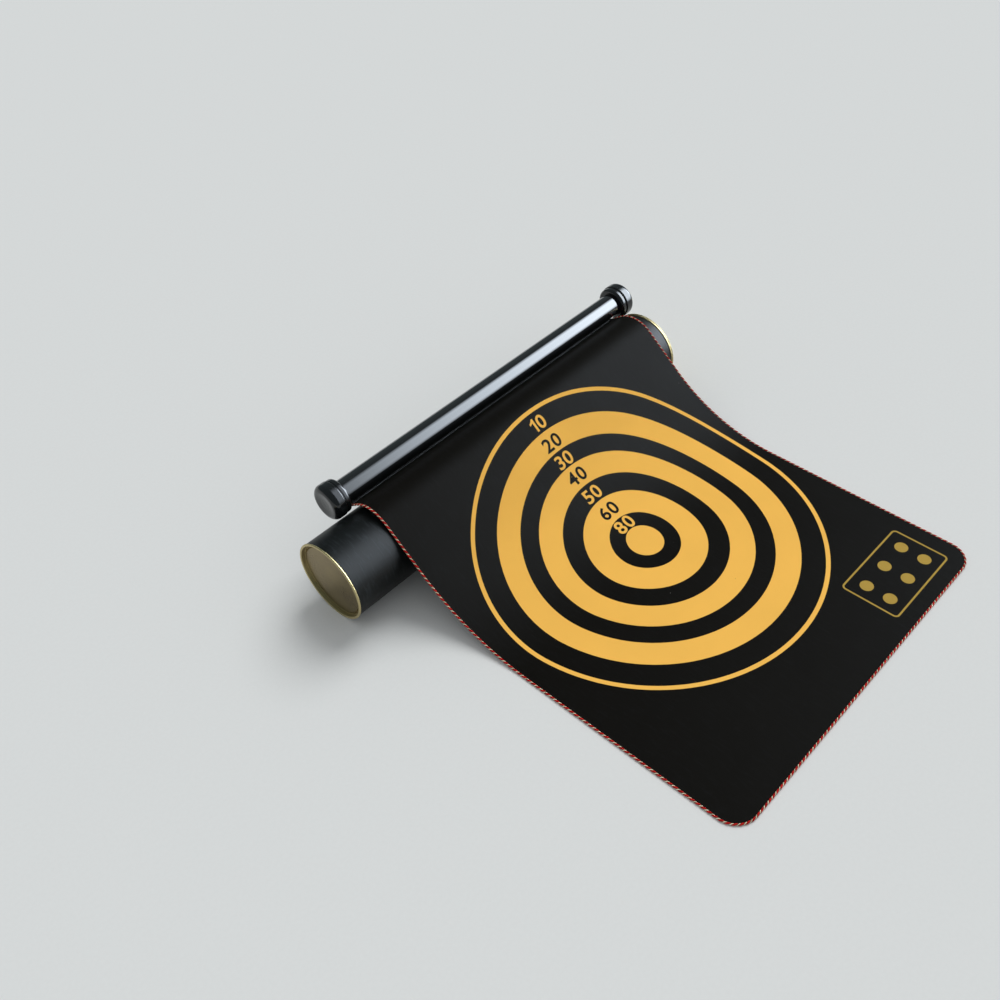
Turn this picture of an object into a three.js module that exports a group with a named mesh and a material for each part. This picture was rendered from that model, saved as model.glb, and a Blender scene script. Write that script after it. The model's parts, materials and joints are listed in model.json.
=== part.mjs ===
// Roll-up magnetic dartboard, draped over the canister it is stored in.
// Millimetres. +X runs along the roller, +Y from the free edge of the mat to the roller, +Z up.
// The origin is on the table, under the middle of the whole object.
import * as THREE from 'three';

// ---- Driving dimensions -------------------------------------------------------------------
const GAP = 0.3;                  // clearance between pieces that touch

const MAT_WIDTH = 400;            // over the edge cord
const MAT_THICKNESS = 1.6;
const MAT_CORNER = 24;            // corner radius at the free edge, over the cord
const CORD = 2.6;                 // edge cord diameter; its top is the level of the bending lines
const CORD_CHAMFER = 0.6;

const CANISTER_RADIUS = 42.5;     // over the rolled rims
const CANISTER_LENGTH = 477;
const CANISTER_SHIFT = -21.5;     // middle of the canister from the middle of the mat
const CANISTER_Y = 422.5;         // canister axis from the free edge
const CANISTER_WALL = 1.2;
const RIM_STEP = 0.8;             // how far a rim stands out of the wall
const RIM_WIDTH = 2;
const LID_FLANGE = 1;             // width of the lid's rim
const TIN = 0.6;                  // sheet thickness of the tinplate ends
const PANEL_DEPTH = 4.5;          // recess of the end panels
const PLUG_DEPTH = 11;            // how far the lid reaches into the canister

const ROLLER_RADIUS = 12.7;
const ROLLER_WALL = 1.8;
const ROLLER_BEHIND = 42;         // roller axis behind the canister axis
const ROLLER_OVERHANG = 6;        // how far the roller runs past the mat on the right
const CAP_RADIUS = 19;            // over the outer band
const CAP_LENGTH = 20;
const CAP_FACE = 13;              // radius of a cap's end face
const CAP_SHOULDER = 6;           // length of the rounding between the band and the end face
const CAP_SHOULDER_STEPS = 4;
const CAP_FLANGE = 18.2;          // radius of the flange next to the roller
const CAP_FLANGE_LENGTH = 6;
const CAP_CHAMFER = 2;
const CAP_GROOVE = 17.5;          // radius of the groove between flange and band
const CAP_GROOVE_LENGTH = 1;
const SPIGOT_LENGTH = 18;
const TAPE_WIDTH = 8;
const TAPE_THICKNESS = 0.6;

const RISE_SLOPE = THREE.MathUtils.degToRad(40);   // mat climbing to the canister
const FALL_SLOPE = THREE.MathUtils.degToRad(35);   // mat dropping to the roller
const RISE_RADIUS = 200;          // bend where the mat leaves the table
const CREST_RADIUS = 34;          // bend over the canister
const CREST_CLEARANCE = 0.5;      // mat above the canister where it climbs

const FRONT_LENGTH = 60;          // first, flat panel of the mat
const STRIPS = 22;                // panels from there to the roller
const STRIP_GROWTH = 1.04;        // each panel is this much longer than the next towards the roller
const ROLLER_PANEL = 8;           // mat from the last bending line to the roller's underside
const MAT_TAIL = 6;               // mat beyond the roller's underside

const ROUND = 64;                 // facets round the canister
const SMALL_ROUND = 40;           // facets round the roller and its caps
const CORNER_FACETS = 12;         // facets round a corner of the mat

// ---- Finishes -----------------------------------------------------------------------------
const finish = (color, roughness, metalness = 0) =>
  new THREE.MeshStandardMaterial({ color, roughness, metalness });
const MAT_BLACK = finish(0x1b1b1d, 0.6);
const CORD_RED = finish(0xa8322e, 0.8);
const GLOSS_BLACK = finish(0x0c0d0f, 0.15);
const CANISTER_BLACK = finish(0x17191a, 0.4);
const TIN_GOLD = finish(0xb9a46c, 0.3, 1);
const TAPE_BLACK = finish(0x1c1c1c, 0.8);

// ---- Side view of the drape: points are (distance from the free edge, height) --------------
const side = (y, z) => new THREE.Vector2(y, z);
const along = (slope) => side(Math.cos(slope), Math.sin(slope));
const upFrom = (slope) => side(-Math.sin(slope), Math.cos(slope));
const slopeOf = (from, to) => Math.atan2(to.y - from.y, to.x - from.x);

const canisterAxis = side(CANISTER_Y, CANISTER_RADIUS);
const rollerReach = CANISTER_RADIUS + CAP_RADIUS + GAP;        // the caps rest on the canister
const rollerAxis = canisterAxis.clone().add(
  side(ROLLER_BEHIND, Math.sqrt(rollerReach ** 2 - ROLLER_BEHIND ** 2)),
);

// The bending lines lie on one curve: flat, a gentle rise, straight, over the crest, straight
// down to the roller's underside.
function drapeCurve() {
  const rise = along(RISE_SLOPE);
  const fall = along(-FALL_SLOPE);
  const upRise = upFrom(RISE_SLOPE);
  const upFall = upFrom(-FALL_SLOPE);
  const tapeSeat = MAT_THICKNESS + TAPE_THICKNESS + 2 * GAP;
  const overCanister = CANISTER_RADIUS + CREST_CLEARANCE + CORD;
  const seat = rollerAxis.clone().addScaledVector(upFall, CORD - tapeSeat - ROLLER_RADIUS);
  // The crest's centre is one crest radius below both straights.
  const underRise = canisterAxis.clone().addScaledVector(upRise, overCanister - CREST_RADIUS);
  const underFall = seat.clone().addScaledVector(upFall, -CREST_RADIUS);
  const reach = underFall.clone().sub(underRise).cross(fall) / rise.cross(fall);
  const centre = underRise.clone().addScaledVector(rise, reach);
  const crestStart = centre.clone().addScaledVector(upRise, CREST_RADIUS);
  const crestEnd = centre.clone().addScaledVector(upFall, CREST_RADIUS);
  const bendTop = CORD + RISE_RADIUS * (1 - Math.cos(RISE_SLOPE));
  const climb = (crestStart.y - bendTop) / Math.sin(RISE_SLOPE);
  const flat = crestStart.x - climb * rise.x - RISE_RADIUS * Math.sin(RISE_SLOPE);

  const climbAt = flat + RISE_RADIUS * RISE_SLOPE;
  const crestAt = climbAt + climb;
  const fallAt = crestAt + CREST_RADIUS * (RISE_SLOPE + FALL_SLOPE);
  const length = fallAt + crestEnd.distanceTo(seat);
  const pointAt = (t) => {
    if (t < flat) return side(t, CORD);
    if (t < climbAt) {
      const turn = (t - flat) / RISE_RADIUS;
      return side(flat, CORD + RISE_RADIUS).addScaledVector(upFrom(turn), -RISE_RADIUS);
    }
    if (t < crestAt) return crestStart.clone().addScaledVector(rise, t - crestAt);
    if (t < fallAt) {
      const slope = RISE_SLOPE - (t - crestAt) / CREST_RADIUS;
      return centre.clone().addScaledVector(upFrom(slope), CREST_RADIUS);
    }
    return seat.clone().addScaledVector(fall, t - length);
  };
  return { pointAt, length };
}

// Bending lines from the front panel to the roller's panel, then the end of the mat.
function bendingLines() {
  const drape = drapeCurve();
  const shares = Array.from({ length: STRIPS }, (_, k) => STRIP_GROWTH ** (STRIPS - k));
  const total = shares.reduce((sum, share) => sum + share, 0);
  const span = drape.length - ROLLER_PANEL - FRONT_LENGTH;
  let t = FRONT_LENGTH;
  const lines = [drape.pointAt(t)];
  for (const share of shares) {
    t += (span * share) / total;
    lines.push(drape.pointAt(t));
  }
  lines.push(drape.pointAt(drape.length + MAT_TAIL));
  return lines;
}

// ---- Placing ------------------------------------------------------------------------------
const capInside = MAT_WIDTH / 2 + 3 * GAP;
const canisterLeft = CANISTER_SHIFT - CANISTER_LENGTH / 2;
const canisterRight = CANISTER_SHIFT + CANISTER_LENGTH / 2;
const middleX = (canisterLeft + capInside + ROLLER_OVERHANG + CAP_LENGTH) / 2;
const middleY = (rollerAxis.x + CAP_RADIUS) / 2;

const board = new THREE.Group();
board.position.set(-middleX, -middleY, 0);

function add(name, geometry, material) {
  const mesh = new THREE.Mesh(geometry, material);
  mesh.name = name;
  board.add(mesh);
  return mesh;
}

// ---- Mat and edge cord --------------------------------------------------------------------
const matHalf = MAT_WIDTH / 2 - CORD - GAP;

// A side-view outline carried across the width of the mat.
function acrossWidth(outline) {
  const geometry = new THREE.ExtrudeGeometry(new THREE.Shape(outline), {
    depth: 2 * matHalf,
    bevelEnabled: false,
  });
  const toSideView = new THREE.Matrix4().set(
    0, 0, 1, -matHalf,
    1, 0, 0, 0,
    0, 1, 0, 0,
    0, 0, 0, 1,
  );
  return geometry.applyMatrix4(toSideView);
}

// Outline of a mat panel between two bending lines, which are one cord above its underside.
// Each end is mitred half a gap from the plane that halves its bend.
function panelOutline(start, end, slopeBefore, slopeAfter) {
  const slope = slopeOf(start, end);
  const corner = (line, bend, depth, inward) => {
    const shift = GAP / 2 / Math.cos(bend / 2) - depth * Math.tan(bend / 2);
    return line.clone()
      .addScaledVector(along(slope), inward * shift)
      .addScaledVector(upFrom(slope), -depth);
  };
  const bendIn = slope - slopeBefore;
  const bendOut = slopeAfter - slope;
  const top = CORD - MAT_THICKNESS;
  return [
    corner(start, bendIn, CORD, 1),
    corner(end, bendOut, CORD, -1),
    corner(end, bendOut, top, -1),
    corner(start, bendIn, top, 1),
  ];
}

// The plan of the free edge, `inset` inside the outer edge of the cord: two round corners.
function frontPlan(inset) {
  const half = MAT_WIDTH / 2 - inset;
  const radius = MAT_CORNER - inset;
  const back = FRONT_LENGTH - GAP / 2;
  const plan = new THREE.Path();
  plan.moveTo(-half, back);
  plan.lineTo(-half, MAT_CORNER);
  plan.absarc(-half + radius, MAT_CORNER, radius, Math.PI, 1.5 * Math.PI);
  plan.absarc(half - radius, MAT_CORNER, radius, 1.5 * Math.PI, 2 * Math.PI);
  plan.lineTo(half, back);
  return plan.getPoints(CORNER_FACETS);
}

function makeFrontPanel() {
  const mat = new THREE.ExtrudeGeometry(new THREE.Shape(frontPlan(CORD + GAP)), {
    depth: MAT_THICKNESS,
    bevelEnabled: false,
  });
  add('mat_front_panel', mat, MAT_BLACK);
  const band = new THREE.Shape([...frontPlan(0), ...frontPlan(CORD).reverse()]);
  const cord = new THREE.ExtrudeGeometry(band, {
    depth: CORD - 2 * CORD_CHAMFER,
    bevelThickness: CORD_CHAMFER,
    bevelSize: CORD_CHAMFER,
    bevelOffset: -CORD_CHAMFER,
    bevelSegments: 1,
  });
  add('edge_cord', cord.translate(0, 0, CORD_CHAMFER), CORD_RED);
}

function makeStrips(lines) {
  const slopes = lines.slice(1).map((line, k) => slopeOf(lines[k], line));
  for (let k = 0; k <= STRIPS; k += 1) {
    const outline = panelOutline(lines[k], lines[k + 1], slopes[k - 1] ?? 0, slopes[k + 1] ?? slopes[k]);
    const name = k < STRIPS ? `mat_panel_${String(k + 1).padStart(2, '0')}` : 'mat_roller_panel';
    add(name, acrossWidth(outline), MAT_BLACK);
  }
}

// ---- Roller -------------------------------------------------------------------------------
// A profile of (radius, distance along X) points turned about the X axis.
function turned(profile, segments) {
  const points = profile.map(([radius, x]) => new THREE.Vector2(radius, x));
  return new THREE.LatheGeometry(points, segments).rotateZ(-Math.PI / 2);
}

function ring(outer, inner, length, segments) {
  const half = length / 2;
  const profile = [[outer, -half], [outer, half], [inner, half], [inner, -half], [outer, -half]];
  return turned(profile, segments);
}

function makeRoller() {
  const length = 2 * (capInside - GAP) + ROLLER_OVERHANG;
  const tube = ring(ROLLER_RADIUS, ROLLER_RADIUS - ROLLER_WALL, length, SMALL_ROUND);
  add('roller_tube', tube, GLOSS_BLACK).position.set(ROLLER_OVERHANG / 2, rollerAxis.x, rollerAxis.y);

  const spigot = ROLLER_RADIUS - ROLLER_WALL - GAP;
  const grooveEnd = CAP_FLANGE_LENGTH + CAP_GROOVE_LENGTH;
  const shoulder = Array.from({ length: CAP_SHOULDER_STEPS + 1 }, (_, k) => {
    const turn = (k / CAP_SHOULDER_STEPS) * (Math.PI / 2);
    return [
      CAP_FACE + (CAP_RADIUS - CAP_FACE) * Math.cos(turn),
      CAP_LENGTH - CAP_SHOULDER * (1 - Math.sin(turn)),
    ];
  });
  const profile = [
    [0, -SPIGOT_LENGTH],
    [spigot, -SPIGOT_LENGTH],
    [spigot, 0],
    [CAP_FLANGE - CAP_CHAMFER, 0],
    [CAP_FLANGE, CAP_CHAMFER],
    [CAP_FLANGE, CAP_FLANGE_LENGTH],
    [CAP_GROOVE, CAP_FLANGE_LENGTH],
    [CAP_GROOVE, grooveEnd],
    [CAP_RADIUS, grooveEnd],
    ...shoulder,
    [0, CAP_LENGTH],
  ];
  for (const [name, way, face] of [
    ['end_cap_left', -1, -capInside],
    ['end_cap_right', 1, capInside + ROLLER_OVERHANG],
  ]) {
    const cap = add(name, turned(profile, SMALL_ROUND), GLOSS_BLACK);
    cap.position.set(face, rollerAxis.x, rollerAxis.y);
    if (way < 0) cap.rotation.z = Math.PI;
  }

  const below = ROLLER_RADIUS + GAP + TAPE_THICKNESS / 2;
  const tapeCentre = rollerAxis.clone().addScaledVector(upFrom(-FALL_SLOPE), -below);
  const tape = new THREE.BoxGeometry(2 * matHalf, TAPE_WIDTH, TAPE_THICKNESS);
  const mesh = add('adhesive_tape', tape, TAPE_BLACK);
  mesh.position.set(0, tapeCentre.x, tapeCentre.y);
  mesh.rotation.x = -FALL_SLOPE;
}

// ---- Canister -----------------------------------------------------------------------------
function makeCanister() {
  const wall = CANISTER_RADIUS - RIM_STEP;
  const bore = wall - CANISTER_WALL;
  const bodyLeft = canisterLeft + RIM_WIDTH + GAP;
  const ringRight = canisterRight - LID_FLANGE - GAP;
  const bodyRight = ringRight - RIM_WIDTH - GAP;

  const body = add('canister_body', ring(wall, bore, bodyRight - bodyLeft, ROUND), CANISTER_BLACK);
  body.position.x = (bodyLeft + bodyRight) / 2;

  // Profiles of the ends start outside: distance along X is measured outwards from the face.
  const rimCurve = (length) => [
    [CANISTER_RADIUS, -length],
    [CANISTER_RADIUS, -TIN],
    [CANISTER_RADIUS - TIN, 0],
  ];
  const plate = (chuck, length, skirt) => [
    [0, -PANEL_DEPTH - TIN],
    [chuck - TIN, -PANEL_DEPTH - TIN],
    [chuck - TIN, -skirt],
    [chuck, -skirt],
    [chuck, -length],
    ...rimCurve(length),
    [chuck, 0],
    [chuck - TIN, -TIN],
    [chuck - TIN, -PANEL_DEPTH],
    [0, -PANEL_DEPTH],
  ];
  const base = add('canister_base', turned(plate(bore - GAP, RIM_WIDTH, PANEL_DEPTH + 2 * TIN), ROUND), TIN_GOLD);
  base.position.x = canisterLeft;
  base.rotation.z = Math.PI;
  const lid = add('canister_lid', turned(plate(bore - 2 * GAP, LID_FLANGE, PLUG_DEPTH), ROUND), TIN_GOLD);
  lid.position.x = canisterRight;
  const rim = add('canister_ring', ring(CANISTER_RADIUS, bore - GAP, RIM_WIDTH, ROUND), TIN_GOLD);
  rim.position.x = ringRight - RIM_WIDTH / 2;
  for (const piece of [body, base, lid, rim]) {
    piece.position.y = canisterAxis.x;
    piece.position.z = canisterAxis.y;
  }
}

makeFrontPanel();
makeStrips(bendingLines());
makeRoller();
makeCanister();

export default board;
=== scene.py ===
"""Roll-up magnetic dartboard draped over its storage canister: fine meshes and finishes.

Everything is in metres, with +X along the roller, +Y from the free edge of the mat to the roller
and +Z up. The mat, its printing and its edge cord are first laid out flat, in a frame of
(x across, t from the free edge, h above the underside), and then wrapped onto the drape.
"""

import json
import logging
import math
from dataclasses import dataclass, field
from enum import Enum
from typing import Any

import bmesh
import bpy
import numpy as np
from mathutils import Matrix, Vector

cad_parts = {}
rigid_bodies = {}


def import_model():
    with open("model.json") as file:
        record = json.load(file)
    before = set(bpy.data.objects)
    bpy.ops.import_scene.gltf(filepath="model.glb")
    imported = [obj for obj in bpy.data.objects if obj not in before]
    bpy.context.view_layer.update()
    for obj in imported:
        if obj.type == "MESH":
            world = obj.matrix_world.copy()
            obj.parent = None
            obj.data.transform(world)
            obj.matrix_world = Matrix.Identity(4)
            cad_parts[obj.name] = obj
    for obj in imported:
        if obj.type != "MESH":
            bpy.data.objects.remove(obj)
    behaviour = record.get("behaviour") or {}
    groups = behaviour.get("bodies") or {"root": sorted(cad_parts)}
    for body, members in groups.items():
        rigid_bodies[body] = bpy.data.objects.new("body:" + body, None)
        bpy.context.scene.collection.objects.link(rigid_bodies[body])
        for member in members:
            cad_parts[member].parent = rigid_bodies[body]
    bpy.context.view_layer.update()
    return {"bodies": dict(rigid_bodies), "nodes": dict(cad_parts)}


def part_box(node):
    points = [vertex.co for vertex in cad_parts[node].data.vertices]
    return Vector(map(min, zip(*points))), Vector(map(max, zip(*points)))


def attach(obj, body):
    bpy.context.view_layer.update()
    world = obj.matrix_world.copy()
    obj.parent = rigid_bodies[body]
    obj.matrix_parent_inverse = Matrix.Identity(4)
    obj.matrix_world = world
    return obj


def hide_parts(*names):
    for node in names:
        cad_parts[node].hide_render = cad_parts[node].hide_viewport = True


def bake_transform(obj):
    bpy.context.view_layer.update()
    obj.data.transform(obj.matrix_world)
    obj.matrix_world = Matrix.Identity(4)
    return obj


Array = np.ndarray
Colour = tuple[float, float, float]
MM = 0.001
LOG = logging.getLogger("dartboard")

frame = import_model()


# ---- Shader graphs --------------------------------------------------------------------------
class Number:
    """A number socket that adds Math nodes when it is used in an expression."""

    def __init__(self, graph: "Graph", socket: bpy.types.NodeSocket) -> None:
        """Wraps one output socket of a graph."""
        self.graph = graph
        self.socket = socket

    def __add__(self, other: Any) -> "Number":
        """The sum."""
        return self.graph.math("ADD", self, other)

    def __sub__(self, other: Any) -> "Number":
        """The difference."""
        return self.graph.math("SUBTRACT", self, other)

    def __rsub__(self, other: Any) -> "Number":
        """The difference, from a plain number."""
        return self.graph.math("SUBTRACT", other, self)

    def __mul__(self, other: Any) -> "Number":
        """The product."""
        return self.graph.math("MULTIPLY", self, other)

    def __truediv__(self, other: Any) -> "Number":
        """The quotient."""
        return self.graph.math("DIVIDE", self, other)

    __radd__ = __add__
    __rmul__ = __mul__


class Graph:
    """One material's nodes, ending in a Principled shader."""

    def __init__(self, name: str, world: bpy.types.World | None = None) -> None:
        """Makes an empty material, or empties a world.

        Args:
            name: The material's name.
            world: The world whose nodes the graph is, instead of a material's.
        """
        self.material = world or bpy.data.materials.new(name)
        self.material.use_nodes = True
        self.tree = self.material.node_tree
        self.tree.nodes.clear()

    def node(self, kind: str, settings: dict[str, Any] | None = None,
             inputs: dict[int | str, Any] | None = None) -> bpy.types.Node:
        """Adds a node, sets it up and joins its inputs.

        Args:
            kind: The node's type, without the ShaderNode prefix.
            settings: The node's own settings; `stops` are a ramp's (position, colour) pairs.
            inputs: A value, a socket or a Number for each named or numbered input.

        Returns:
            The node.
        """
        made = self.tree.nodes.new("ShaderNode" + kind)
        for key, value in (settings or {}).items():
            if key == "stops":
                self._fill_ramp(made.color_ramp, value)
            else:
                setattr(made, key, value)
        for key, value in (inputs or {}).items():
            if isinstance(value, Number):
                value = value.socket
            if isinstance(value, bpy.types.NodeSocket):
                self.tree.links.new(value, made.inputs[key])
            else:
                made.inputs[key].default_value = value
        return made

    @staticmethod
    def _fill_ramp(ramp: bpy.types.ColorRamp, stops: list[tuple[float, Colour]]) -> None:
        """Sets a ramp's stops, of which there are two or more.

        Args:
            ramp: The ramp.
            stops: The position and colour of each stop.
        """
        while len(ramp.elements) < len(stops):
            ramp.elements.new(0.5)
        for element, (position, colour) in zip(ramp.elements, stops):
            element.position = position
            element.color = (*colour, 1.0)

    def math(self, operation: str, *values: Any, clamp: bool = False) -> Number:
        """Adds a Math node and returns its result."""
        made = self.node("Math", {"operation": operation, "use_clamp": clamp}, dict(enumerate(values)))
        return Number(self, made.outputs[0])

    def edge(self, value: Number, at: float, softness: float) -> Number:
        """A step from 0 to 1.

        Args:
            value: What is compared.
            at: Where the step is.
            softness: The width of the step, in the units of value.

        Returns:
            clamp((value - at) / softness + 1/2).
        """
        return self.math("MULTIPLY_ADD", value, 1 / softness, 0.5 - at / softness, clamp=True)

    def band(self, value: Number, low: float, high: float, softness: float) -> Number:
        """1 between low and high and 0 outside them, with soft edges."""
        return self.edge(value, low, softness) - self.edge(value, high, softness)

    def mix(self, amount: Any, first: Any, second: Any) -> bpy.types.NodeSocket:
        """A colour between two.

        Args:
            amount: How much of the second colour.
            first: The colour at 0.
            second: The colour at 1.

        Returns:
            The mixed colour.
        """
        first = (*first, 1.0) if isinstance(first, tuple) else first
        second = (*second, 1.0) if isinstance(second, tuple) else second
        made = self.node("Mix", {"data_type": "RGBA"}, {0: amount, 6: first, 7: second})
        return made.outputs[2]

    def object_place(self, centre: Vector | None = None) -> bpy.types.NodeSocket:
        """Object coordinates, measured from a point.

        Args:
            centre: The point to measure from, or None for the origin.

        Returns:
            The coordinates.
        """
        place = self.node("TexCoord").outputs["Object"]
        if centre is None:
            return place
        return self.node("Mapping", None, {"Vector": place, "Location": tuple(-centre)}).outputs[0]

    def surface_place(self) -> bpy.types.NodeSocket:
        """The piece's own surface coordinates."""
        return self.node("UVMap", {"uv_map": Piece.SURFACE_MAP}).outputs[0]

    def stretched(self, place: bpy.types.NodeSocket,
                  scale: tuple[float, float, float]) -> bpy.types.NodeSocket:
        """Coordinates multiplied axis by axis."""
        return self.node("VectorMath", {"operation": "MULTIPLY"}, {0: place, 1: scale}).outputs[0]

    def split(self, place: bpy.types.NodeSocket) -> tuple[Number, Number, Number]:
        """The three numbers of a vector."""
        made = self.node("SeparateXYZ", None, {0: place})
        return tuple(Number(self, output) for output in made.outputs)

    def noise(self, place: bpy.types.NodeSocket, scale: float, detail: float = 2.0,
              rough: float = 0.5) -> Number:
        """Smooth noise from about 0.25 to 0.75."""
        inputs = {"Vector": place, "Scale": scale, "Detail": detail, "Roughness": rough}
        return Number(self, self.node("TexNoise", None, inputs).outputs[0])

    def specks(self, place: bpy.types.NodeSocket, spacing: float, radius: float, share: float) -> Number:
        """Sparse round dots.

        Args:
            place: The coordinates.
            spacing: The side of a cell, which holds at most one dot.
            radius: A dot's radius.
            share: The share of cells that have a dot.

        Returns:
            1 on the dots and 0 elsewhere.
        """
        cells = self.node("TexVoronoi", {"feature": "F1"}, {"Vector": place, "Scale": 1 / spacing})
        chance = self.node("SeparateColor", None, {0: cells.outputs["Color"]}).outputs[0]
        distance = Number(self, cells.outputs["Distance"])
        near = 1.0 - self.edge(distance, radius / spacing, 0.4 * radius / spacing)
        return near * self.math("LESS_THAN", chance, share)

    def bump(self, height: Any, distance: float, strength: float = 1.0,
             normal: bpy.types.NodeSocket | None = None) -> bpy.types.NodeSocket:
        """A normal from a height.

        Args:
            height: A height from 0 to 1.
            distance: The metres that a height of 1 stands for.
            strength: How strongly it shows.
            normal: The normal that it is added to.

        Returns:
            The bent normal.
        """
        inputs = {"Height": height, "Distance": distance, "Strength": strength}
        if normal is not None:
            inputs["Normal"] = normal
        return self.node("Bump", None, inputs).outputs[0]

    def finish(self, **inputs: Any) -> bpy.types.Material:
        """Ends the graph in a Principled shader.

        Args:
            inputs: Its inputs, with underscores for spaces.

        Returns:
            The material.
        """
        named = {}
        for key, value in inputs.items():
            colour = isinstance(value, tuple) and len(value) == 3
            named[key.replace("_", " ")] = (*value, 1.0) if colour else value
        shader = self.node("BsdfPrincipled", None, named)
        self.node("OutputMaterial", None, {"Surface": shader.outputs[0]})
        return self.material


# ---- Meshes ---------------------------------------------------------------------------------
class Piece:
    """Patches of surface sewn into one closed mesh with exact normals."""

    SURFACE_MAP = "surface"
    WELD = 2e-7
    WELD_SHIFT = 0.317

    def __init__(self, name: str) -> None:
        """Starts a piece.

        Args:
            name: The name of the object to come.
        """
        self.name = name
        self.points: list[Array] = []
        self.normals: list[Array] = []
        self.places: list[Array] = []
        self.faces: list[Array] = []
        self.slots: list[Array] = []
        self.count = 0

    def add_grid(self, points: Array, normals: Array, places: Array, slot: int = 0) -> None:
        """Adds a grid of quads.

        Args:
            points: Rows and columns of points.
            normals: The outward normal at each point.
            places: The surface coordinates at each point.
            slot: The material slot.
        """
        rows, columns = points.shape[:2]
        index = np.arange(rows * columns).reshape(rows, columns)
        quads = np.stack([index[:-1, :-1], index[1:, :-1], index[1:, 1:], index[:-1, 1:]], -1).reshape(-1, 4)
        self.add_faces(points.reshape(-1, 3), normals.reshape(-1, 3), places.reshape(-1, 2), quads, slot)

    def add_faces(self, points: Array, normals: Array, places: Array, quads: Array, slot: int = 0) -> None:
        """Adds faces of four corners, of which two may be alike, and turns them to face outwards.

        Args:
            points: The points.
            normals: The outward normal at each point.
            places: The surface coordinates at each point.
            quads: The four point numbers of each face.
            slot: The material slot.
        """
        corners = points[quads]
        facing = np.cross(corners[:, 2] - corners[:, 0], corners[:, 3] - corners[:, 1])
        if (facing * normals[quads].sum(1)).sum() < 0:
            quads = quads[:, ::-1]
        self.points.append(points)
        self.normals.append(normals)
        self.places.append(places)
        self.faces.append(quads + self.count)
        self.slots.append(np.full(len(quads), slot))
        self.count += len(points)

    def build(self, materials: list[bpy.types.Material]) -> bpy.types.Object:
        """Sews the patches and makes the object.

        Args:
            materials: The materials of the slots.

        Returns:
            The object, at the origin, with its place in its mesh.
        """
        points = np.concatenate(self.points)
        faces = np.concatenate(self.faces)
        keys = np.floor(points / self.WELD + self.WELD_SHIFT).astype(np.int64)
        _, first, welded = np.unique(keys, axis=0, return_index=True, return_inverse=True)
        corners = welded.reshape(-1)[faces]
        kept = corners != np.roll(corners, 1, axis=1)
        sides = kept.sum(1)
        kept[sides < 3] = False
        whole = sides >= 3
        starts = np.concatenate([[0], np.cumsum(sides[whole])[:-1]])
        mesh = bpy.data.meshes.new(self.name)
        mesh.vertices.add(len(first))
        mesh.vertices.foreach_set("co", points[first].astype(np.float32).ravel())
        mesh.loops.add(int(kept.sum()))
        mesh.loops.foreach_set("vertex_index", corners[kept].astype(np.int32))
        mesh.polygons.add(int(whole.sum()))
        mesh.polygons.foreach_set("loop_start", starts.astype(np.int32))
        mesh.polygons.foreach_set("material_index", np.concatenate(self.slots)[whole].astype(np.int32))
        mesh.polygons.foreach_set("use_smooth", np.ones(int(whole.sum()), bool))
        layer = mesh.uv_layers.new(name=self.SURFACE_MAP)
        layer.uv.foreach_set("vector", np.concatenate(self.places)[faces[kept]].astype(np.float32).ravel())
        mesh.update(calc_edges=True)
        mesh.normals_split_custom_set(np.concatenate(self.normals)[faces[kept]].tolist())
        for material in materials:
            mesh.materials.append(material)
        made = bpy.data.objects.new(self.name, mesh)
        bpy.context.scene.collection.objects.link(made)
        return made


def smooth_normals(points: Array, closed: bool) -> Array:
    """Normals of a grid: the cross product of its row and column differences.

    Args:
        points: Rows and columns of points; a row goes round the piece.
        closed: Whether each row's last point is its first.

    Returns:
        A unit normal at each point, to either side.
    """
    across = np.gradient(points, axis=0)
    if closed:
        step = points[:, 1:] - points[:, :-1]
        seam = step[:, -1:] + step[:, :1]
        around = np.concatenate([seam, step[:, 1:] + step[:, :-1], seam], 1)
    else:
        around = np.gradient(points, axis=1)
    normals = np.cross(across, around)
    return normals / np.linalg.norm(normals, axis=-1, keepdims=True)


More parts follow.
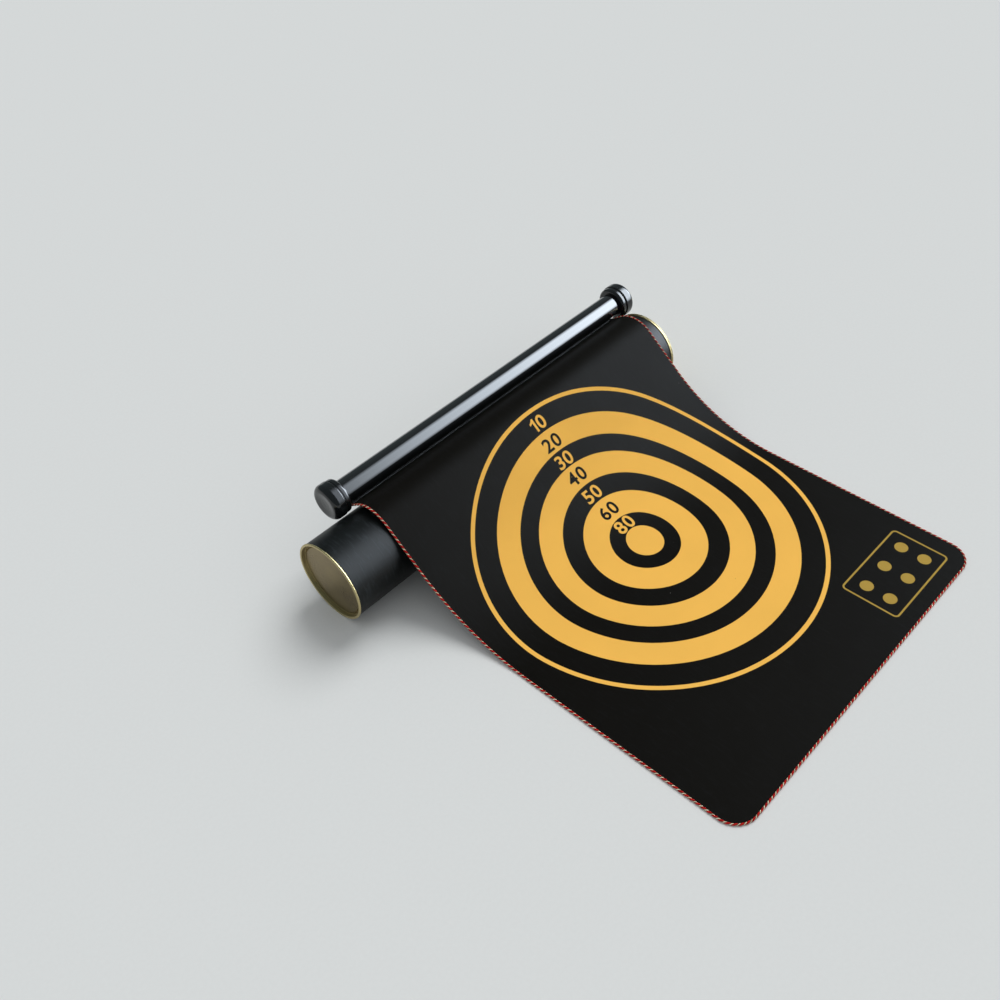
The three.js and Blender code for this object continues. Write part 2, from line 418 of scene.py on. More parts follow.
@dataclass
class Turning:
    """A profile turned about the X axis.

    The profile goes round the solid with the outside on its left, as (distance along X, radius).
    """

    corners: list[tuple[float, float, float]]
    closed: bool = False
    arc_steps: int = 6

    def profile(self) -> tuple[Array, Array]:
        """Rounds the corners: each becomes an arc that touches the lines on both sides of it.

        Returns:
            Points and outward normals along the profile.
        """
        data = np.array(self.corners)
        places, radii = data[:, :2], data[:, 2]
        points, normals = [], []
        count = len(places)
        for index in range(count):
            before = places[index] - places[index - 1]
            after = places[(index + 1) % count] - places[index]
            if not self.closed and index == 0:
                before = after
            if not self.closed and index == count - 1:
                after = before
            before, after = before / np.linalg.norm(before), after / np.linalg.norm(after)
            turn = math.atan2(before[0] * after[1] - before[1] * after[0], before @ after)
            side = -math.copysign(1.0, turn)
            start = math.atan2(before[0], -before[1])
            angles = start + turn * np.linspace(0, 1, self.arc_steps + 1 if abs(turn) > 1e-6 else 1)
            out = np.stack([np.cos(angles), np.sin(angles)], -1)
            reach = radii[index] * math.tan(abs(turn) / 2)
            centre = places[index] - before * reach - side * radii[index] * out[0]
            points.append(centre + side * radii[index] * out)
            normals.append(out)
        if self.closed:
            points.append(points[0][:1])
            normals.append(normals[0][:1])
        return np.concatenate(points), np.concatenate(normals)

    def add_to(self, piece: Piece, axis: tuple[float, float], origin: float, way: int = 1,
               segments: int = 96, slot: int = 0) -> None:
        """Adds the turned surface to a piece.

        Args:
            piece: The piece.
            axis: The axis's (y, z).
            origin: Where along X the profile's zero is.
            way: 1, or -1 to turn the profile round.
            segments: The number of steps round the axis.
            slot: The material slot.
        """
        points, normals = self.profile()
        angle = np.linspace(0, 2 * math.pi, segments + 1)
        angle[-1] = 0.0
        ring = np.stack([np.cos(angle), np.sin(angle)], -1)
        radius = points[:, 1, None, None] * ring
        along = np.broadcast_to(origin + way * points[:, 0, None], radius.shape[:2])
        surface = np.dstack([along, radius[..., 0] + axis[0], radius[..., 1] + axis[1]])
        facing = normals[:, 1, None, None] * ring
        leaning = np.broadcast_to(way * normals[:, 0, None], radius.shape[:2])
        length = np.concatenate([[0], np.cumsum(np.linalg.norm(np.diff(points, axis=0), axis=1))])
        turn = np.linspace(0, 1, segments + 1)
        places = np.dstack(np.meshgrid(turn, length))
        piece.add_grid(surface, np.dstack([leaning, facing]), places, slot)


# ---- The drape ------------------------------------------------------------------------------
def middle(node: str) -> Vector:
    """The middle of a CAD node's box."""
    low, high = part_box(node)
    return (low + high) / 2


@dataclass(frozen=True)
class Drape:
    """Side view of the mat, as one curve at the top of the edge cord.

    It is flat, bends gently upwards, climbs straight, bends over the canister and drops straight
    to the underside of the roller.
    """

    canister: tuple[float, float]
    roller: tuple[float, float]
    free_edge: float
    centre_x: float
    cord: float = 2.6 * MM
    thickness: float = 1.6 * MM
    tape_seat: float = 2.8 * MM
    canister_radius: float = 42.5 * MM
    clearance: float = 0.5 * MM
    roller_radius: float = 12.7 * MM
    rise_slope: float = math.radians(40)
    fall_slope: float = math.radians(35)
    rise_radius: float = 200 * MM
    crest_radius: float = 34 * MM
    tail: float = 6 * MM

    @classmethod
    def from_frame(cls) -> "Drape":
        """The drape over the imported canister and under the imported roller.

        Returns:
            The drape.
        """
        canister, roller = middle("canister_body"), middle("roller_tube")
        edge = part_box("edge_cord")[0].y
        centre_x = middle("edge_cord").x
        return cls((canister.y - edge, canister.z), (roller.y - edge, roller.z), edge, centre_x)

    @staticmethod
    def _up(slope: float) -> Array:
        """The upward normal of a slope, as (distance, height)."""
        return np.array([-math.sin(slope), math.cos(slope)])

    def stretches(self) -> dict[str, Any]:
        """Works the side view out: flat, bend, climb, crest and drop.

        Returns:
            The distance along the mat where each stretch starts or ends, and the points and directions
            that the stretches hang from.
        """
        rise = np.array([math.cos(self.rise_slope), math.sin(self.rise_slope)])
        fall = np.array([math.cos(self.fall_slope), -math.sin(self.fall_slope)])
        up_rise, up_fall = self._up(self.rise_slope), self._up(-self.fall_slope)
        over = self.canister_radius + self.clearance + self.cord
        seat = np.array(self.roller) + up_fall * (self.cord - self.tape_seat - self.roller_radius)
        under_rise = np.array(self.canister) + up_rise * (over - self.crest_radius)
        gap = seat - up_fall * self.crest_radius - under_rise
        reach = (gap[0] * fall[1] - gap[1] * fall[0]) / (rise[0] * fall[1] - rise[1] * fall[0])
        centre = under_rise + rise * reach
        crest, end = centre + up_rise * self.crest_radius, centre + up_fall * self.crest_radius
        bend_top = self.cord + self.rise_radius * (1 - math.cos(self.rise_slope))
        climb = (crest[1] - bend_top) / math.sin(self.rise_slope)
        flat = crest[0] - climb * rise[0] - self.rise_radius * math.sin(self.rise_slope)
        climb_at = flat + self.rise_radius * self.rise_slope
        crest_at = climb_at + climb
        fall_at = crest_at + self.crest_radius * (self.rise_slope + self.fall_slope)
        length = fall_at + float(np.linalg.norm(seat - end))
        return {"flat": flat, "climb": climb_at, "crest": crest_at, "fall": fall_at, "length": length,
                "crest_point": crest, "centre": centre, "seat": seat, "rise": rise, "down": fall}

    def side_view(self, t: Array) -> tuple[Array, Array, Array]:
        """The curve at distances t along the mat.

        Args:
            t: Distances from the free edge.

        Returns:
            The distance over the table, the height and the slope.
        """
        part = self.stretches()
        turn = (t - part["flat"]) / self.rise_radius
        slope = np.clip(turn, 0, self.rise_slope)
        bending = self.rise_slope - (t - part["crest"]) / self.crest_radius
        slope = np.where(t < part["crest"], slope, np.clip(bending, -self.fall_slope, self.rise_slope))
        conditions = [t < part["flat"], t < part["climb"], t < part["crest"], t < part["fall"]]
        climb, drop = t - part["crest"], t - part["length"]
        over = np.select(conditions, [
            t,
            part["flat"] + self.rise_radius * np.sin(slope),
            part["crest_point"][0] + part["rise"][0] * climb,
            part["centre"][0] - self.crest_radius * np.sin(slope),
        ], part["seat"][0] + part["down"][0] * drop)
        high = np.select(conditions, [
            np.full_like(t, self.cord),
            self.cord + self.rise_radius * (1 - np.cos(slope)),
            part["crest_point"][1] + part["rise"][1] * climb,
            part["centre"][1] + self.crest_radius * np.cos(slope),
        ], part["seat"][1] + part["down"][1] * drop)
        return over, high, slope

    def wrap(self, flat: Array) -> Array:
        """Moves flat points onto the drape.

        Args:
            flat: Flat points (x, t, h), h being the height above the underside.

        Returns:
            The points in space.
        """
        over, high, slope = self.side_view(flat[..., 1])
        lift = flat[..., 2] - self.cord
        return np.stack([
            flat[..., 0] + self.centre_x,
            over - lift * np.sin(slope) + self.free_edge,
            high + lift * np.cos(slope),
        ], -1)

    def turn(self, directions: Array, t: Array) -> Array:
        """Turns flat directions along with the drape.

        Args:
            directions: Flat directions (x, t, h).
            t: The distance along the mat of each.

        Returns:
            The directions in space.
        """
        slope = self.side_view(t)[2]
        return np.stack([
            directions[..., 0],
            directions[..., 1] * np.cos(slope) - directions[..., 2] * np.sin(slope),
            directions[..., 1] * np.sin(slope) + directions[..., 2] * np.cos(slope),
        ], -1)


@dataclass
class Segments:
    """How the mat is divided into segments, each about one bending line or, at the two ends, none."""

    drape: Drape
    bodies: list[str]
    front_length: float = 60 * MM
    roller_panel: float = 8 * MM
    growth: float = 1.04

    def lines(self) -> Array:
        """The bending lines along the mat: panels shorten by the same ratio towards the roller.

        Returns:
            Their distances from the free edge.
        """
        strips = len(self.bodies) - 2
        shares = self.growth ** np.arange(strips, 0, -1.0)
        span = self.drape.stretches()["length"] - self.roller_panel - self.front_length
        return self.front_length + np.concatenate([[0], np.cumsum(shares)]) * span / shares.sum()

    def cuts(self) -> Array:
        """The ends of the segments: the free edge, the middles between bending lines, the end.

        Returns:
            Their distances from the free edge.
        """
        lines = self.lines()
        end = self.drape.stretches()["length"] + self.drape.tail
        first = lines[0] - (lines[1] - lines[0]) / 2
        last = lines[-1] + self.roller_panel / 2
        return np.concatenate([[0, first], (lines[1:] + lines[:-1]) / 2, [last, end]])

    def attach(self, piece: bpy.types.Object, number: int) -> None:
        """Makes a piece of the first or last segment follow its body; any other piece only has its transform
        baked into its mesh.

        Args:
            piece: The piece.
            number: Its segment.
        """
        cuts = self.cuts()
        if number == 0:
            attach(piece, self.bodies[0])
        elif number == len(cuts) - 2:
            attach(piece, self.bodies[-1])
        else:
            flat = np.array([[0, cuts[number], self.drape.cord], [0, cuts[number + 1], self.drape.cord]])
            start, end = self.drape.wrap(flat)
            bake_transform(piece)


# ---- Finishes -------------------------------------------------------------------------------
@dataclass(frozen=True)
class SheetFinish:
    """The black film on the magnetic sheet, and the inks printed on it."""

    black: Colour = (0.0046, 0.0042, 0.0034)
    gold: Colour = (0.97, 0.545, 0.108)
    pale_gold: Colour = (0.80, 0.64, 0.36)
    line_gold: Colour = (0.80, 0.50, 0.13)
    red: Colour = (0.72, 0.055, 0.065)
    green: Colour = (0.03, 0.40, 0.17)
    softness: float = 0.12 * MM

    def ground(self, graph: Graph) -> tuple[bpy.types.NodeSocket, Number, bpy.types.NodeSocket]:
        """The bare film: faint scuffs, cloudy sheen and a few specks of lint.

        Args:
            graph: The material's graph.

        Returns:
            Its colour, its roughness and its normal.
        """
        place = graph.surface_place()
        cloud = graph.noise(place, 9, 3)
        rubbed = graph.noise(graph.stretched(place, (60, 9, 1)), 6, 4, 0.65)
        lint = graph.specks(place, 21 * MM, 0.34 * MM, 0.55)
        shade = graph.mix(graph.edge(rubbed, 0.62, 0.2) * 0.5, self.black, (0.0085, 0.0085, 0.0083))
        colour = graph.mix(lint * 0.55, shade, (0.45, 0.45, 0.42))
        rough = 0.43 + cloud * 0.16 - rubbed * 0.08
        grain = graph.noise(place, 1 / (0.9 * MM), 2)
        waves = graph.noise(place, 28, 1)
        normal = graph.bump(grain, 0.03 * MM, 0.35, graph.bump(waves, 0.9 * MM, 0.25))
        return colour, rough, normal

    def ink(self, graph: Graph, colour: Colour, flakes: float) -> bpy.types.NodeSocket:
        """Screen-printed ink: cloudy, with fine flakes and a few pinholes.

        Args:
            graph: The material's graph.
            colour: The ink's colour.
            flakes: How strongly the flakes show, from 0 to 1.

        Returns:
            The ink's colour.
        """
        place = graph.surface_place()
        dark = tuple(0.78 * channel for channel in colour)
        cloud = graph.edge(graph.noise(place, 14, 3), 0.5, 0.5)
        flake = graph.edge(graph.noise(place, 1 / (0.7 * MM), 3, 0.7), 0.5, 0.3)
        base = graph.mix(cloud * 0.35 + flake * flakes, colour, dark)
        pinholes = graph.specks(place, 17 * MM, 0.3 * MM, 0.35)
        return graph.mix(pinholes * 0.8, base, (0.05, 0.03, 0.01))

    def close(self, graph: Graph, colour: Any, rough: Any, normal: Any) -> bpy.types.Material:
        """Ends a sheet material."""
        return graph.finish(Base_Color=colour, Roughness=rough, Normal=normal, Specular_IOR_Level=0.03)

    def numeral(self, name: str, colour: Colour) -> bpy.types.Material:
        """The ink of the numbers, which are thin films of their own.

        Args:
            name: The material's name.
            colour: The ink.

        Returns:
            The material.
        """
        graph = Graph(name)
        _, rough, normal = self.ground(graph)
        return self.close(graph, self.ink(graph, colour, 0.12), rough, normal)

    def plain(self, name: str) -> bpy.types.Material:
        """The cut edge of the sheet.

        Args:
            name: The material's name.

        Returns:
            The material.
        """
        graph = Graph(name)
        colour, rough, normal = self.ground(graph)
        return self.close(graph, colour, rough, normal)


@dataclass(frozen=True)
class Target:
    """The ring face: gold rings, a thin outer line, and a box of six dots near one corner."""

    centre: tuple[float, float] = (5.2 * MM, 254.2 * MM)
    rings: tuple[float, ...] = (19.2, 35.9, 62.8, 84.1, 109.0, 128.5, 153.2, 176.5, 180.9)
    numbers: tuple[tuple[str, float, bool], ...] = (
        ("10", 418.0, True), ("20", 393.6, False), ("30", 371.9, True), ("40", 350.7, False),
        ("50", 326.7, True), ("60", 302.7, False), ("80", 281.2, True))
    number_height: float = 15.0 * MM
    number_shift: float = 0.2 * MM
    box_centre: tuple[float, float] = (129.4 * MM, 47.2 * MM)
    box_half: tuple[float, float] = (50.5 * MM, 29.7 * MM)
    box_corner: float = 5 * MM
    box_line: float = 1.8 * MM
    dot_radius: float = 6.6 * MM
    dot_columns: tuple[float, ...] = (96.3 * MM, 129.9 * MM, 162.5 * MM)
    dot_rows: tuple[float, ...] = (59.0 * MM, 34.5 * MM)
    dull_gold: Colour = (0.45, 0.305, 0.066)

    def material(self, finish: SheetFinish) -> bpy.types.Material:
        """The printed face, worked out from the distance to the centre and to the box.

        Args:
            finish: The sheet's finish.

        Returns:
            The material.
        """
        graph = Graph("target_print")
        x, t, _ = graph.split(graph.surface_place())
        wobble = (graph.noise(graph.surface_place(), 180, 1) - 0.5) * (0.25 * MM)
        away = self._distance(graph, x, t, self.centre) + wobble
        rings = 1.0 - graph.edge(away, self.rings[0] * MM, finish.softness)
        for number, radius in enumerate(self.rings[1:]):
            step = graph.edge(away, radius * MM, finish.softness)
            rings = rings + step if number % 2 == 0 else rings - step
        black, rough, normal = finish.ground(graph)
        colour = graph.mix(rings, black, finish.ink(graph, finish.gold, 0.12))
        dull = finish.ink(graph, self.dull_gold, 0.2)
        colour = graph.mix(self._box(graph, x, t, finish.softness), colour, dull)
        return finish.close(graph, colour, rough - rings * 0.03, normal)

    @staticmethod
    def _distance(graph: Graph, x: Number, t: Number, centre: tuple[float, float]) -> Number:
        """The distance from a point of the face."""
        across, along = x - centre[0], t - centre[1]
        return graph.math("SQRT", across * across + along * along)

    def _box(self, graph: Graph, x: Number, t: Number, softness: float) -> Number:
        """The outline of a rounded box, by its signed distance, and the dots in it.

        Args:
            graph: The graph.
            x: The distance across.
            t: The distance from the free edge.
            softness: The width of an edge.

        Returns:
            1 on the outline and the dots, and 0 elsewhere.
        """
        beyond = [
            graph.math("MAXIMUM", graph.math("ABSOLUTE", value - middle) - (half - self.box_corner), 0.0)
            for value, middle, half in zip((x, t), self.box_centre, self.box_half)]
        away = graph.math("SQRT", beyond[0] * beyond[0] + beyond[1] * beyond[1])
        shown = graph.band(away, self.box_corner - self.box_line, self.box_corner, softness)
        for centre in ((across, along) for along in self.dot_rows for across in self.dot_columns):
            dot = self._distance(graph, x, t, centre)
            shown = graph.math("MAXIMUM", shown, 1.0 - graph.edge(dot, self.dot_radius, softness))
        return shown


@dataclass(frozen=True)
class Clock:
    """The clock face on the underside: twenty sectors with double and treble rings."""

    centre: tuple[float, float] = (0.0, 255.0 * MM)
    bull: float = 8 * MM
    outer_bull: float = 18 * MM
    treble: tuple[float, float] = (81 * MM, 96 * MM)
    double: tuple[float, float] = (134 * MM, 150 * MM)
    tick: float = 155 * MM
    line: float = 0.55 * MM
    number_radius: float = 165 * MM
    number_height: float = 12.5 * MM
    order: tuple[int, ...] = (20, 1, 18, 4, 13, 6, 10, 15, 2, 17, 3, 19, 7, 16, 8, 11, 14, 9, 12, 5)

    def material(self, finish: SheetFinish) -> bpy.types.Material:
        """The printed face, worked out from the distance to the centre and the angle round it.

        Args:
            finish: The sheet's finish.

        Returns:
            The material.
        """
        graph = Graph("clock_print")
        x, t, _ = graph.split(graph.surface_place())
        across, along = self.centre[0] - x, t - self.centre[1]
        away = graph.math("SQRT", across * across + along * along)
        sector = graph.math("ARCTAN2", across, along) * (len(self.order) / (2 * math.pi)) + 0.5
        odd = graph.edge(graph.math("PINGPONG", graph.math("FLOOR", sector), 1.0), 0.5, 0.1)
        from_line = graph.math("PINGPONG", sector, 0.5) * away * (2 * math.pi / len(self.order))
        black, rough, normal = finish.ground(graph)
        single = graph.mix(odd, finish.ink(graph, finish.pale_gold, 0.45), black)
        scoring = graph.mix(odd, finish.ink(graph, finish.red, 0.1), finish.ink(graph, finish.green, 0.1))
        treble = graph.band(away, *self.treble, finish.softness)
        ring = treble + graph.band(away, *self.double, finish.softness)
        colour = graph.mix(ring, single, scoring)
        colour = graph.mix(graph.edge(away, self.double[1], finish.softness), colour, black)
        bull = 1.0 - graph.edge(away, self.outer_bull, finish.softness)
        centre = 1.0 - graph.edge(away, self.bull, finish.softness)
        colour = graph.mix(bull, colour, black)
        colour = graph.mix(centre, colour, finish.ink(graph, finish.red, 0.1))
        lines = (1.0 - graph.edge(from_line, self.line, finish.softness)) * graph.band(
            away, self.outer_bull, self.tick, finish.softness)
        for radius in (self.bull, self.outer_bull, *self.treble, *self.double):
            shown = graph.band(away, radius - self.line, radius + self.line, finish.softness)
            lines = graph.math("MAXIMUM", lines, shown)
        colour = graph.mix(lines, colour, finish.ink(graph, finish.line_gold, 0.1))
        return finish.close(graph, colour, rough, normal)


@dataclass(frozen=True)
class CordFinish:
    """Twisted cord: a thick red strand and a thinner cream one, with painted shade in the gaps between them.
    """

    red: Colour = (0.60, 0.016, 0.012)
    deep_red: Colour = (0.24, 0.004, 0.005)
    cream: Colour = (0.96, 0.84, 0.60)
    olive: Colour = (0.20, 0.15, 0.08)
    # dark: painted shade laid in the recessed gaps between the strands; also the colour of the fine yarn
    # lines
    dark: Colour = (0.012, 0.007, 0.005)

    def material(self, red_share: float, cream_share: tuple[float, float]) -> bpy.types.Material:
        """The cord's material.

        Args:
            red_share: How much of a turn the red strand takes, from its start.
            cream_share: Where in a turn the cream strand starts and ends.

        Returns:
            The material.
        """
        graph = Graph("edge_cord_yarn")
        place = graph.surface_place()
        around, along, _ = graph.split(place)
        yarn = graph.math("SINE", (along * (1 / (0.62 * MM)) + around * 5.0) * (2 * math.pi)) * 0.5 + 0.5
        patch = graph.noise(graph.stretched(place, (1.5, 260, 1)), 1, 2)
        red = graph.mix(graph.edge(patch, 0.5, 0.3) * 0.7, self.red, self.deep_red)
        cream = graph.mix(graph.edge(patch, 0.6, 0.15) * 0.7, self.cream, self.olive)
        softness = 0.025
        on_red = graph.band(around, softness, red_share - softness, softness)
        on_cream = graph.band(around, *cream_share, softness)
        # Painted shade: where neither strand lies, in the recessed gaps between them, the colour is the
        # near-black dark.
        colour = graph.mix(on_cream, graph.mix(on_red, self.dark, red), cream)
        colour = graph.mix(yarn * 0.25, colour, self.dark)
        normal = graph.bump(yarn, 0.07 * MM, 0.8)
        return graph.finish(Base_Color=colour, Roughness=0.7, Normal=normal, Specular_IOR_Level=0.15)


@dataclass(frozen=True)
class GlossFinish:
    """Polished black plastic with hairline wiping marks."""

    colour: Colour = (0.006, 0.0068, 0.0072)

    def material(self, name: str, coat: float, haze: float) -> bpy.types.Material:
        """A polished material.

        Args:
            name: The material's name.
            coat: Weight of the clear coat.
            haze: Roughness added all over.

        Returns:
            The material.
        """
        graph = Graph(name)
        place = graph.object_place()
        hair = graph.noise(graph.stretched(place, (12, 500, 500)), 1, 3, 0.6)
        smear = graph.noise(place, 34, 3)
        rough = graph.edge(smear, 0.52, 0.3) * 0.05 + graph.edge(hair, 0.62, 0.15) * 0.04 + (0.05 + haze)
        normal = graph.bump(hair, 0.006 * MM, 0.25, graph.bump(graph.noise(place, 60, 1), 0.05 * MM, 0.3))
        shade = graph.mix(graph.edge(smear, 0.5, 0.4) * 0.5, self.colour, (0.010, 0.0115, 0.012))
        return graph.finish(Base_Color=shade, Roughness=rough, Normal=normal, Coat_Weight=coat,
                            Coat_Roughness=0.03, IOR=1.5)


@dataclass(frozen=True)
class PaperFinish:
    """Laminated black paper on the canister, and the grey board of its wall."""

    black: Colour = (0.0020, 0.0024, 0.0022)
    board: Colour = (0.26, 0.20, 0.14)

    def outside(self) -> bpy.types.Material:
        """The laminated paper: round scuffs, pimples and small dents.

        Returns:
            The material.
        """
        graph = Graph("canister_paper")
        place = graph.object_place()
        rubbed = graph.noise(graph.stretched(place, (420, 70, 70)), 1, 4, 0.65)
        pimples = graph.specks(place, 9 * MM, 0.7 * MM, 0.5)
        dents = graph.noise(place, 45, 2)
        colour = graph.mix(graph.edge(rubbed, 0.58, 0.12) * 0.7, self.black, (0.014, 0.017, 0.018))
        normal = graph.bump(pimples, 0.06 * MM, 0.5, graph.bump(dents, 0.5 * MM, 0.35))
        normal = graph.bump(rubbed, 0.10 * MM, 0.5, normal)
        return graph.finish(Base_Color=colour, Roughness=0.34 + rubbed * 0.24, Normal=normal,
                            Specular_IOR_Level=0.24)

    def inside(self) -> bpy.types.Material:
        """The bare board: short fibres.

        Returns:
            The material.
        """
        graph = Graph("canister_board")
        place = graph.object_place()
        fibres = graph.noise(graph.stretched(place, (900, 300, 300)), 1, 3, 0.7)
        colour = graph.mix(graph.edge(fibres, 0.5, 0.4), self.board, tuple(0.7 * c for c in self.board))
        return graph.finish(Base_Color=colour, Roughness=0.9, Normal=graph.bump(fibres, 0.08 * MM, 0.6))


@dataclass(frozen=True)
class TinFinish:
    """Gold-lacquered tinplate with faint spinning marks, and a painted reflection on its rim."""

    gold: Colour = (0.19, 0.137, 0.050)
    worn: Colour = (0.28, 0.215, 0.090)
    # rim: painted reflection, a paler colour standing in for the light that the rolled rim catches
    rim: Colour = (0.55, 0.46, 0.24)
    rim_radius: float = 39.4 * MM
    rim_softness: float = 0.6 * MM

    def material(self, axis: Vector) -> bpy.types.Material:
        """The material.

        Args:
            axis: A point on the canister's axis.

        Returns:
            The material.
        """
        graph = Graph("canister_tin")
        place = graph.object_place(axis)
        _, across, up = graph.split(place)
        radius = graph.math("SQRT", across * across + up * up)
        spinning = {"W": radius, "Scale": 900.0, "Detail": 3.0}
        rings = graph.node("TexNoise", {"noise_dimensions": "1D"}, spinning)
        spun = Number(graph, rings.outputs[0])
        cloud = graph.noise(place, 40, 3)
        colour = graph.mix(graph.edge(cloud, 0.55, 0.3) * 0.5, self.gold, self.worn)
        # Painted reflection: beyond rim_radius the colour turns to the paler rim colour.
        on_rim = graph.edge(radius, self.rim_radius, self.rim_softness)
        colour = graph.mix(on_rim, colour, self.rim)
        rough = 0.20 + cloud * 0.12 + spun * 0.06 + on_rim * 0.18
        normal = graph.bump(spun, 0.01 * MM, 0.3, graph.bump(cloud, 0.15 * MM, 0.25))
        return graph.finish(Base_Color=colour, Roughness=rough, Metallic=1.0, Normal=normal)


@dataclass(frozen=True)
class TapeFinish:
    """Double-sided tape: black tissue with short fibres."""

    colour: Colour = (0.022, 0.022, 0.022)

    def material(self) -> bpy.types.Material:
        """The material.

        Returns:
            The material.
        """
        graph = Graph("tape_tissue")
        fibres = graph.noise(graph.stretched(graph.object_place(), (300, 1500, 1500)), 1, 3, 0.7)
        shade = graph.mix(graph.edge(fibres, 0.5, 0.4), self.colour, tuple(0.75 * c for c in self.colour))
        return graph.finish(Base_Color=shade, Roughness=0.75, Normal=graph.bump(fibres, 0.05 * MM, 0.6))


# ---- Numbers --------------------------------------------------------------------------------
class Side(Enum):
    """The two printed sides of the mat, with the way that x runs as each is read."""

    TARGET = 1
    CLOCK = -1


@dataclass
class Lettering:
    """The numbers of one colour on one side, cut from thin ink in the flat frame.

    ONE is the outline of the digit 1, one unit high.
    """

    ONE = ((0.26, 0.0), (0.44, 0.0), (0.44, 1.0), (0.31, 1.0),
           (0.18, 0.85), (0.0, 0.76), (0.0, 0.60), (0.26, 0.72))
    side: Side
    thickness: float
    film: float = 0.05 * MM
    buried: float = 0.05 * MM
    weight: float = 0.020
    breadth: float = 1.10
    spacing: float = 0.13
    ink: bmesh.types.BMesh = field(default_factory=bmesh.new)

    def write(self, text: str, centre: tuple[float, float], height: float, turn: float = 0.0) -> None:
        """Adds one number.

        Args:
            text: The digits.
            centre: The middle of the number, as (x, t).
            height: The digits' height.
            turn: How far it is turned clockwise, as it is read.
        """
        digits = [self._digit(character) for character in text]
        widths = [mesh.vertices[-1].co.x for mesh in digits]
        start = -(sum(widths) + self.spacing * (len(widths) - 1)) / 2
        for mesh, width in zip(digits, widths):
            count = len(mesh.vertices) - 1
            points = np.empty(3 * (count + 1), np.float32)
            mesh.vertices.foreach_get("co", points)
            points = (points.reshape(-1, 3)[:, :2].astype(float) + [start, -0.5]) * height
            across = points[:, 0] * math.cos(turn) + points[:, 1] * math.sin(turn)
            along = points[:, 1] * math.cos(turn) - points[:, 0] * math.sin(turn)
            placed = [centre[0] + self.side.value * across, centre[1] + along, np.zeros(count + 1)]
            mesh.vertices.foreach_set("co", np.stack(placed, -1).astype(np.float32).ravel())
            self.ink.from_mesh(mesh)
            bpy.data.meshes.remove(mesh)
            start += width + self.spacing
        loose = [vert for vert in self.ink.verts if not vert.link_faces]
        bmesh.ops.delete(self.ink, geom=loose, context="VERTS")

    def _digit(self, character: str) -> bpy.types.Mesh:
        """Makes one digit.

        Args:
            character: The digit.

        Returns:
            A flat mesh one unit high, from its lower left corner. Its last, loose point marks its width.
        """
        if character == "1":
            outline = self.ONE
            faces = [tuple(range(len(outline)))]
        else:
            curve = bpy.data.curves.new("digit", "FONT")
            curve.body = character
            curve.offset = self.weight
            curve.resolution_u = 5
            written = bpy.data.objects.new("digit", curve)
            mesh = bpy.data.meshes.new_from_object(written)
            points = np.array([vert.co[:2] for vert in mesh.vertices])
            low, high = points.min(0), points.max(0)
            outline = ((points - low) / (high[1] - low[1])) * [self.breadth, 1.0]
            faces = [tuple(face.vertices) for face in mesh.polygons]
            bpy.data.objects.remove(written)
            bpy.data.curves.remove(curve)
            bpy.data.meshes.remove(mesh)
        width = max(point[0] for point in outline)
        made = bpy.data.meshes.new("digit")
        made.from_pydata([(x, y, 0.0) for x, y in outline] + [(width, 0.0, 0.0)], [], faces)
        return made

    def segment(self, rows: Array) -> tuple[Array, Array, Array] | None:
        """The ink on one segment of the mat, as a closed film cut at each of its rows.

        Args:
            rows: The distances of the segment's rows of points from the free edge.

        Returns:
            Flat points, flat normals and triangles, or None if there is no ink there.
        """
        cut = self.ink.copy()
        for number, row in enumerate(rows):
            everything = cut.verts[:] + cut.edges[:] + cut.faces[:]
            bmesh.ops.bisect_plane(cut, geom=everything, dist=1e-8, plane_co=(0, row, 0), plane_no=(0, 1, 0),
                                   clear_inner=number == 0, clear_outer=number == len(rows) - 1)
        bmesh.ops.triangulate(cut, faces=cut.faces[:])
        bmesh.ops.remove_doubles(cut, verts=cut.verts[:], dist=1e-7)
        if not cut.faces:
            cut.free()
            return None
        solid = bmesh.ops.extrude_face_region(cut, geom=cut.faces[:])
        raised = [item for item in solid["geom"] if isinstance(item, bmesh.types.BMVert)]
        outer = self.thickness + self.film if self.side is Side.TARGET else -self.film
        inner = self.thickness - self.buried if self.side is Side.TARGET else self.buried
        for vert in cut.verts:
            vert.co.z = inner
        for vert in raised:
            vert.co.z = outer
        bmesh.ops.triangulate(cut, faces=cut.faces[:])
        bmesh.ops.recalc_face_normals(cut, faces=cut.faces[:])
        mesh = bpy.data.meshes.new("ink")
        cut.to_mesh(mesh)
        cut.free()
        points = np.empty(3 * len(mesh.vertices), np.float32)
        corners = np.empty(3 * len(mesh.polygons), np.int32)
        facing = np.empty(3 * len(mesh.polygons), np.float32)
        mesh.vertices.foreach_get("co", points)
        mesh.polygons.foreach_get("vertices", corners)
        mesh.polygons.foreach_get("normal", facing)
        bpy.data.meshes.remove(mesh)
        spread = points.reshape(-1, 3)[corners].astype(float)
        triangles = np.arange(len(corners)).reshape(-1, 3)
        return spread, np.repeat(facing.reshape(-1, 3), 3, axis=0).astype(float), triangles


